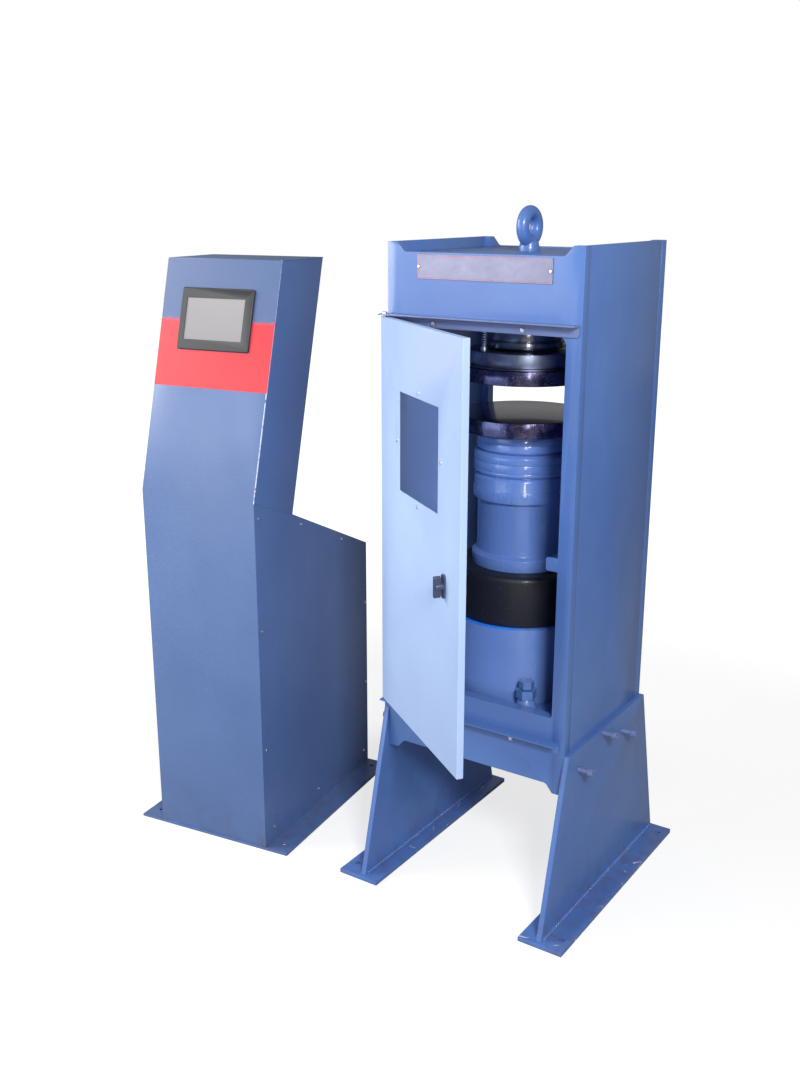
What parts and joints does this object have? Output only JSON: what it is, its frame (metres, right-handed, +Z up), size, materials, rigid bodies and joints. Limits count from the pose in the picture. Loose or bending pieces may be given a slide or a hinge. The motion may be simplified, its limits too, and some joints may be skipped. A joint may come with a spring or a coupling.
{
  "type": "compression testing machine",
  "caption": "Compression testing machine: a welded load frame with a hydraulic jack, ball-seated upper platen and glazed door, beside a floor console with a sloping touch screen.",
  "frame": {"origin": "on the floor, at the centre of the four anchor holes in the load frame's feet, under the axis of the load column", "axes": "+Z up along the load axis, +Y towards the back, +X to the right when facing the door"},
  "size_m": [1.2477, 0.77, 1.544],
  "materials": {
    "frame_paint": "semi-gloss, fine orange peel",
    "door_paint": "satin, pale lavender blue",
    "console_paint": "satin, fine texture",
    "black_paint": "gloss",
    "bright_screws": "bright zinc, lightly brushed",
    "plate_aluminium": "brushed",
    "clear_pane": "clear polycarbonate",
    "black_plastic": "fine grain",
    "plated_steel": "zinc plated",
    "blue_wiper": "satin",
    "black_rubber": "matte",
    "ground_steel": "ground",
    "dark_steel": "blackened, lightly oiled",
    "chromed_spindle": "turned and polished",
    "printed_overlay": "semi-gloss printed film",
    "grey_plastic": "fine grain",
    "screen_glass": "glossy, behind a touch film",
    "motor_grey": "satin",
    "board_laminate": "solder mask"
  },
  "bodies": {
    "load_frame": {"front_plate": "frame_paint", "back_plate": "frame_paint", "side_plate_left": "frame_paint", "side_plate_right": "frame_paint", "crosshead": "frame_paint", "base_block": "frame_paint", "leg_left": "frame_paint", "leg_right": "frame_paint", "leg_bolts": "bright_screws", "lifting_eye": "frame_paint", "nameplate": "plate_aluminium", "nameplate_screws": "bright_screws", "hinge_angle_top": "frame_paint", "hinge_angle_bottom": "frame_paint", "hinge_angle_screws": "bright_screws", "hinge_pins": "bright_screws", "jack_cylinder": "frame_paint", "wiper_ring": "blue_wiper", "oil_port_fitting": "frame_paint", "spindle": "chromed_spindle", "crosshead_hanger_bolts": "bright_screws", "hanger_springs": "bright_screws", "console_base": "console_paint", "console_front": "console_paint", "console_head": "console_paint", "console_side_left": "console_paint", "console_side_right": "console_paint", "console_rear_cover": "console_paint", "console_screws": "bright_screws", "console_overlay": "printed_overlay", "screen_bezel": "grey_plastic", "touch_glass": "screen_glass", "oil_tank": "plated_steel", "tank_lid": "plated_steel", "pump_motor": "motor_grey", "gear_pump": "plate_aluminium", "valve_manifold": "plate_aluminium", "solenoid_valve": "black_plastic", "pressure_transducer": "plated_steel", "control_board": "board_laminate"},
    "door": {"door_panel": "door_paint", "door_window": "clear_pane", "window_screws": "bright_screws", "lock_housing": "black_plastic"},
    "lock": {"lock_knob": "black_plastic", "latch_cam": "plated_steel"},
    "ram_column": {"ram": "ground_steel", "piston_seal": "black_rubber", "ram_cover": "black_paint", "spacer_tall": "frame_paint", "spacer_mid": "frame_paint", "spacer_top": "frame_paint", "lower_platen": "dark_steel"},
    "tilting_platen": {"ball_disc": "ground_steel", "upper_platen": "dark_steel", "disc_hanger_bolts": "bright_screws"},
    "pump_rotor": {"motor_shaft": "ground_steel"}
  },
  "joints": [
    {"name": "door_hinge", "type": "hinge", "parent": "load_frame", "child": "door", "pos_m": [-0.227, -0.216, 0.876], "axis": [0, 0, 1], "range_deg": [-75, 35]},
    {"name": "lock_turn", "type": "hinge", "parent": "door", "child": "lock", "pos_m": [0.06257, -0.41876, 0.822], "axis": [-0.5736, -0.8192, 0], "range_deg": [0, 90]},
    {"name": "ram_lift", "type": "slide", "parent": "load_frame", "child": "ram_column", "axis": [0, 0, 1], "range_m": [0, 0.05]},
    {"name": "platen_tilt", "type": "hinge", "parent": "load_frame", "child": "tilting_platen", "pos_m": [0, 0, 1.1793], "axis": [1, 0, 0], "range_deg": [-2, 2], "stiffness_Nm_per_rad": 200, "deforming": ["hanger_springs"]},
    {"name": "rotor_spin", "type": "hinge", "parent": "load_frame", "child": "pump_rotor", "pos_m": [-0.73935, -0.13708, 0.24], "axis": [0, 0, 1], "continuous": true}
  ]
}
